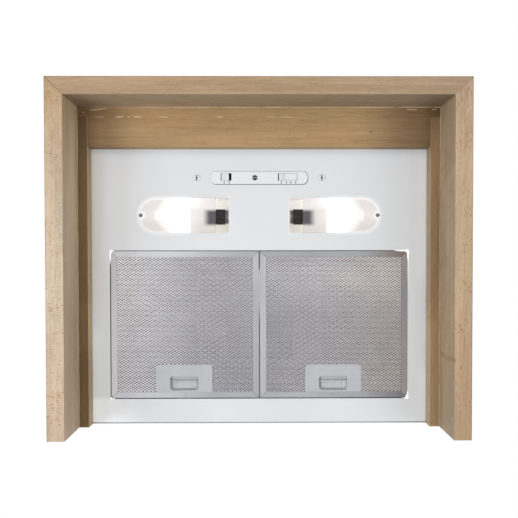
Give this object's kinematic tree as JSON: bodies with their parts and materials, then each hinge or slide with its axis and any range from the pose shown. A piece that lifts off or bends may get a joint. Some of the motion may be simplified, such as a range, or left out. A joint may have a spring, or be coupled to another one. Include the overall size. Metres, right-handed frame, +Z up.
{
  "type": "range hood",
  "caption": "Wall range hood: beech surround, white panel with sliders, lamps and hinged grease filters, tapered canopy with blower, and a chimney cover.",
  "frame": {"origin": "middle of the four wall-screw holes, on the wall plane", "axes": "+X to the right as seen from the front, +Y into the wall, +Z up"},
  "size_m": [0.6, 0.512, 0.7],
  "materials": {
    "beech_front": "oiled",
    "beech_side": "oiled",
    "beech_inner": "oiled",
    "white_steel": "satin",
    "zinc_steel": "galvanised",
    "screw_steel": "zinc plated",
    "white_plastic": "satin",
    "black_plastic": "matte",
    "lamp_white": "satin",
    "diffuser": "frosted",
    "lampholder": "satin",
    "bulb_glass": "opal",
    "filter_rail": "anodised",
    "filter_mesh": "bare",
    "latch_metal": "satin",
    "motor_can": "rolled",
    "capacitor_can": "matte",
    "terminal_white": "matte"
  },
  "bodies": {
    "hood": {"front_board": "beech_front", "left_board": "beech_side", "right_board": "beech_side", "front_batten": "beech_inner", "left_batten": "beech_inner", "right_batten": "beech_inner", "filler_board": "beech_inner", "bottom_panel": "white_steel", "divider_rail": "white_steel", "back_panel": "white_steel", "top_plate": "white_steel", "canopy_front": "white_steel", "canopy_left": "white_steel", "canopy_right": "white_steel", "chimney_cover": "white_steel", "chimney_bracket": "zinc_steel", "blower_wall": "zinc_steel", "blower_left_side": "zinc_steel", "blower_right_side": "zinc_steel", "motor_bracket": "zinc_steel", "wood_screws": "screw_steel", "case_screws": "screw_steel", "cover_screws": "screw_steel", "bezel_screw": "screw_steel", "flap_pin": "screw_steel", "slider_bezel": "white_plastic", "switch_body": "black_plastic", "outlet_collar": "black_plastic", "junction_box": "black_plastic", "junction_lid": "black_plastic", "cable_gland": "black_plastic", "left_lamp_box": "lamp_white", "right_lamp_box": "lamp_white", "left_diffuser": "diffuser", "right_diffuser": "diffuser", "left_lampholder": "lampholder", "right_lampholder": "lampholder", "left_bulb": "bulb_glass", "right_bulb": "bulb_glass", "motor": "motor_can", "capacitor": "capacitor_can", "terminal_block": "terminal_white"},
    "left_filter": {"left_filter_frame": "filter_rail", "left_filter_mesh": "filter_mesh", "left_filter_core": "filter_mesh", "left_latch_plate": "latch_metal", "left_latch_spring": "screw_steel"},
    "left_latch": {"left_latch": "latch_metal"},
    "right_filter": {"right_filter_frame": "filter_rail", "right_filter_mesh": "filter_mesh", "right_filter_core": "filter_mesh", "right_latch_plate": "latch_metal", "right_latch_spring": "screw_steel"},
    "right_latch": {"right_latch": "latch_metal"},
    "fan": {"impeller": "black_plastic", "motor_shaft": "screw_steel"},
    "front_flap": {"front_flap": "black_plastic"},
    "rear_flap": {"rear_flap": "black_plastic"},
    "light_slider": {"light_slider": "white_plastic"},
    "fan_slider": {"fan_slider": "white_plastic"}
  },
  "joints": [
    {"name": "left_filter_hinge", "type": "hinge", "parent": "hood", "child": "left_filter", "pos_m": [-0.1163, -0.2698, -0.1795], "axis": [-1, 0, 0], "range_deg": [0, 75]},
    {"name": "left_latch_slide", "type": "slide", "parent": "left_filter", "child": "left_latch", "axis": [0, -1, 0], "range_m": [0, 0.007], "stiffness_N_per_m": 150, "springref_m": -0.008, "deforming": ["left_latch_spring"]},
    {"name": "right_filter_hinge", "type": "hinge", "parent": "hood", "child": "right_filter", "pos_m": [0.1163, -0.2698, -0.1795], "axis": [-1, 0, 0], "range_deg": [0, 75]},
    {"name": "right_latch_slide", "type": "slide", "parent": "right_filter", "child": "right_latch", "axis": [0, -1, 0], "range_m": [0, 0.007], "stiffness_N_per_m": 150, "springref_m": -0.008, "deforming": ["right_latch_spring"]},
    {"name": "fan_spin", "type": "hinge", "parent": "hood", "child": "fan", "pos_m": [0, -0.1905, -0.02], "axis": [1, 0, 0], "continuous": true},
    {"name": "front_flap_hinge", "type": "hinge", "parent": "hood", "child": "front_flap", "pos_m": [0, -0.12, 0.148], "axis": [-1, 0, 0], "range_deg": [0, 80]},
    {"name": "rear_flap_hinge", "type": "hinge", "parent": "hood", "child": "rear_flap", "pos_m": [0, -0.12, 0.148], "axis": [1, 0, 0], "range_deg": [0, 80]},
    {"name": "light_slide", "type": "slide", "parent": "hood", "child": "light_slider", "axis": [1, 0, 0], "range_m": [0, 0.0039]},
    {"name": "fan_slide", "type": "slide", "parent": "hood", "child": "fan_slider", "axis": [1, 0, 0], "range_m": [0, 0.0222]}
  ]
}
